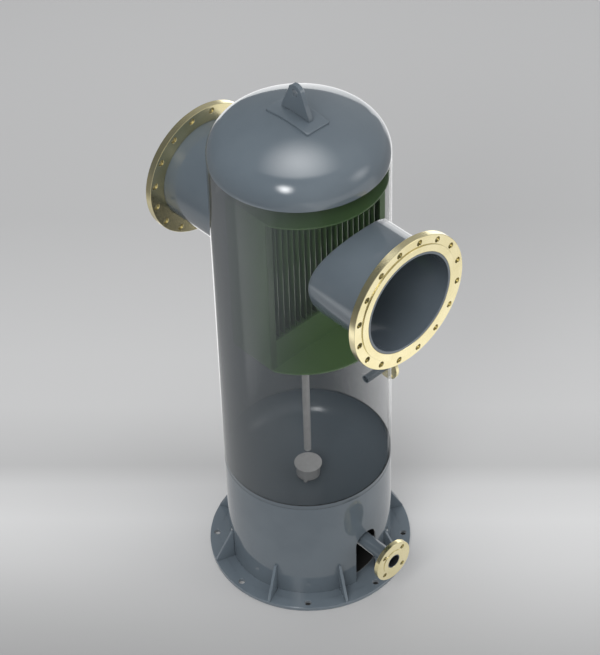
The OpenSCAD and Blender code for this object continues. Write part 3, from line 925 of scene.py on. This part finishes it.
def vaneTree(material):
    floatKind, intKind = "NodeSocketFloat", "NodeSocketInt"
    tree, wire, tap = newTree("vanePack", [
        ("Count", intKind), ("Pitch", floatKind), ("Sheet", floatKind), ("Height", floatKind),
        ("Start", floatKind), ("Length", floatKind), ("Run", floatKind), ("Bends", intKind),
        ("Swing", floatKind), ("Hook Gap", floatKind), ("Hook Length", floatKind), ("Floor", floatKind),
    ])
    index = wire.add("GeometryNodeInputIndex")
    section = wire.add("GeometryNodeCurvePrimitiveQuadrilateral", inputs={0: tap["Sheet"], 1: tap["Height"]})

    def isAt(place):
        return wire.maths("COMPARE", index, place)

    def isPast(place):
        return wire.maths("GREATER_THAN", index, place)

    def vector(x=0.0, y=0.0, z=0.0):
        return wire.add("ShaderNodeCombineXYZ", inputs={0: x, 1: y, 2: z})

    def pointRow(count, x=0.0, y=0.0, z=0.0):  # points whose places follow from their index
        line = wire.add("GeometryNodeMeshLine", inputs={"Count": count})
        return wire.add("GeometryNodeSetPosition", inputs={"Geometry": line, "Position": vector(x, y, z)})

    def sweep(points):  # an upright sheet along a row of points
        sockets = {"Curve": wire.add("GeometryNodeMeshToCurve", inputs={0: points})}
        sockets.update({"Profile Curve": section, "Fill Caps": True})
        return wire.add("GeometryNodeCurveToMesh", inputs=sockets)

    odd = wire.maths("MODULO", index, 2.0)
    side = 1 - odd * 2.0
    step = (tap["Length"] - tap["Run"] * 2.0) / (tap["Bends"] + 1.0)
    last = tap["Bends"] + 3.0
    ends = wire.maths("MAXIMUM", isAt(0.0), isAt(last))
    knees = wire.maths("MAXIMUM", isAt(1.0), isAt(last - 1.0))
    bend = (1 - ends) * (1 - knees)
    inside = wire.add("ShaderNodeClamp", inputs={0: index - 1.0, 1: 0.0, 2: tap["Bends"] + 1.0})
    x = tap["Start"] + isPast(0.5) * tap["Run"] + inside * step + isAt(last) * tap["Run"]
    sheet = sweep(pointRow(tap["Bends"] + 4.0, x, bend * side * tap["Swing"]))

    hook = sweep(pointRow(3, isPast(1.5) * tap["Hook Length"] * -1.0, isPast(0.5) * tap["Hook Gap"]))
    bendX = tap["Start"] + tap["Run"] + (index + 1.0) * step
    sockets = {"Points": pointRow(tap["Bends"], bendX, side * tap["Swing"])}
    sockets.update({"Instance": hook, "Rotation": vector(odd * math.pi)})  # each second hook is turned over
    hooks = wire.add("GeometryNodeInstanceOnPoints", inputs=sockets)
    one = wire.add("GeometryNodeJoinGeometry")
    for part in (sheet, hooks):
        tree.links.new(part.socket, one.socket.node.inputs[0])

    rowY = (index - (tap["Count"] - 1.0) / 2.0) * tap["Pitch"]
    row = pointRow(tap["Count"], 0.0, rowY, tap["Floor"] + tap["Height"] / 2.0)
    pack = wire.add("GeometryNodeInstanceOnPoints", inputs={"Points": row, "Instance": one})
    endTree(wire, pack, material)
    return tree


def makeVanes(s):
    low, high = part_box("vanes")
    material = leafMaterial(leaf, "vaneSheet", leaf["vanePaintedLight"], high.x - s["bareHighlightEdge"])
    made = runTree("vanePack", vaneTree(material), {
        "Count": s["count"], "Pitch": s["pitch"], "Sheet": s["sheet"], "Height": high.z - low.z,
        "Start": low.x, "Length": high.x - low.x, "Run": s["run"], "Bends": s["bends"],
        "Swing": s["swing"], "Hook Gap": s["hookGap"], "Hook Length": s["hookLength"], "Floor": low.z,
    })
    print("vanes:", len(made.data.polygons), "faces")
    joinFrame(made, ["vanes"])


makeVanes(vane)

# gussets
gusset = {
    "count": 8, "thick": 0.010, "nose": 0.007, "setIn": 0.002, "gap": 0.0003,
    "chamfer": 0.0012, "chamferSteps": 2, "chamferShape": 0.6,
}


def gussetTree(material):
    tree, wire, tap = newTree("gussetRing", [("Count", "NodeSocketInt"), ("First Turn", "NodeSocketFloat")])
    index = wire.add("GeometryNodeInputIndex")
    turn = tap["First Turn"] + index * (2 * math.pi) / tap["Count"]
    sockets = {"Points": wire.add("GeometryNodePoints", inputs={"Count": tap["Count"]})}
    sockets["Instance"] = tap["Geometry"]
    sockets["Rotation"] = wire.add("ShaderNodeCombineXYZ", inputs={2: turn})
    endTree(wire, wire.add("GeometryNodeInstanceOnPoints", inputs=sockets), material)
    return tree


def makeGussets(s):
    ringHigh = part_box("base_ring")[1]
    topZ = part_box("gusset_1")[1].z
    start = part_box("skirt")[1].x + s["gap"]
    reach, footZ = ringHigh.x - s["setIn"], ringHigh.z
    outline = [(start, footZ), (reach, footZ), (reach, footZ + s["nose"]),
               (start + s["nose"], topZ), (start, topZ)]
    half = s["thick"] / 2
    bm = bmesh.new()
    loft(bm, [[Vector((x, y, z)) for x, z in outline] for y in (-half, half)])
    bmesh.ops.holes_fill(bm, edges=bm.edges, sides=0)
    bmesh.ops.recalc_face_normals(bm, faces=bm.faces)
    bmesh.ops.bevel(bm, geom=bm.edges, offset=s["chamfer"], segments=s["chamferSteps"],
                    profile=s["chamferShape"], affect="EDGES")
    seed = bpy.data.meshes.new("gussetSeed")
    bm.to_mesh(seed)
    bm.free()
    values = {"Count": s["count"], "First Turn": math.pi / s["count"]}
    made = runTree("gussets", gussetTree(paints["base"]), values, seed)
    smoothFaces(made.data, plainSharp)
    joinFrame(made, ["gusset_%d" % i for i in range(1, s["count"] + 1)])


makeGussets(gusset)
print("gussets placed")

# cap over the drain
cap = {"tube": 0.044, "wall": 0.004, "plate": 0.005, "round": 0.0012, "steps": 96, "sharp": 40.0}


def makeCap(s):
    low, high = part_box("drain_cap")
    r, tube, rim = s["round"], s["tube"], high.x
    bore, under = tube - s["wall"], high.z - s["plate"]
    profile = [(0, under), (bore, under), (bore, low.z + r), (bore + r, low.z)]
    profile += [(tube - r, low.z), (tube, low.z + r), (tube, under - r), (tube + r, under), (rim - r, under)]
    profile += [(rim, under + r), (rim, high.z - r), (rim - r, high.z), (0, high.z)]
    bm = bmesh.new()
    spin(bm, profile, s["steps"])
    finishPiece("drainCap", bm, paleSteel, ["drain_cap"], s["sharp"])


makeCap(cap)
print("cap set over the drain")

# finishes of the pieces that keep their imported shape
slots = {
    "grey_paint": paints["plain"], "green_paint": greenSheet,
    "pale_steel": paleSteel, "clear_shell": clearShell,
}
special = {
    "bottom_head": paints["sump"], "skirt": paints["skirt"], "drain_pipe": paints["drain"],
    "outlet_pipe": paints["pipe"], "inlet_pipe": paints["pipe"],
    "face_blank": blankSheet, "bottom_plate": blankSheet, "face_strip_right": stripSheet,
}
for name, piece in nodes.items():
    if piece.hide_render:
        continue
    for slot in piece.material_slots:
        key = slot.material.name.split(".")[0]
        slot.material = special.get(name, slots.get(key, slot.material))
nodes["shell"].visible_shadow = False  # the inside is lit as freely as the outside
nodes["shell"].visible_diffuse = False
print("finishes given")
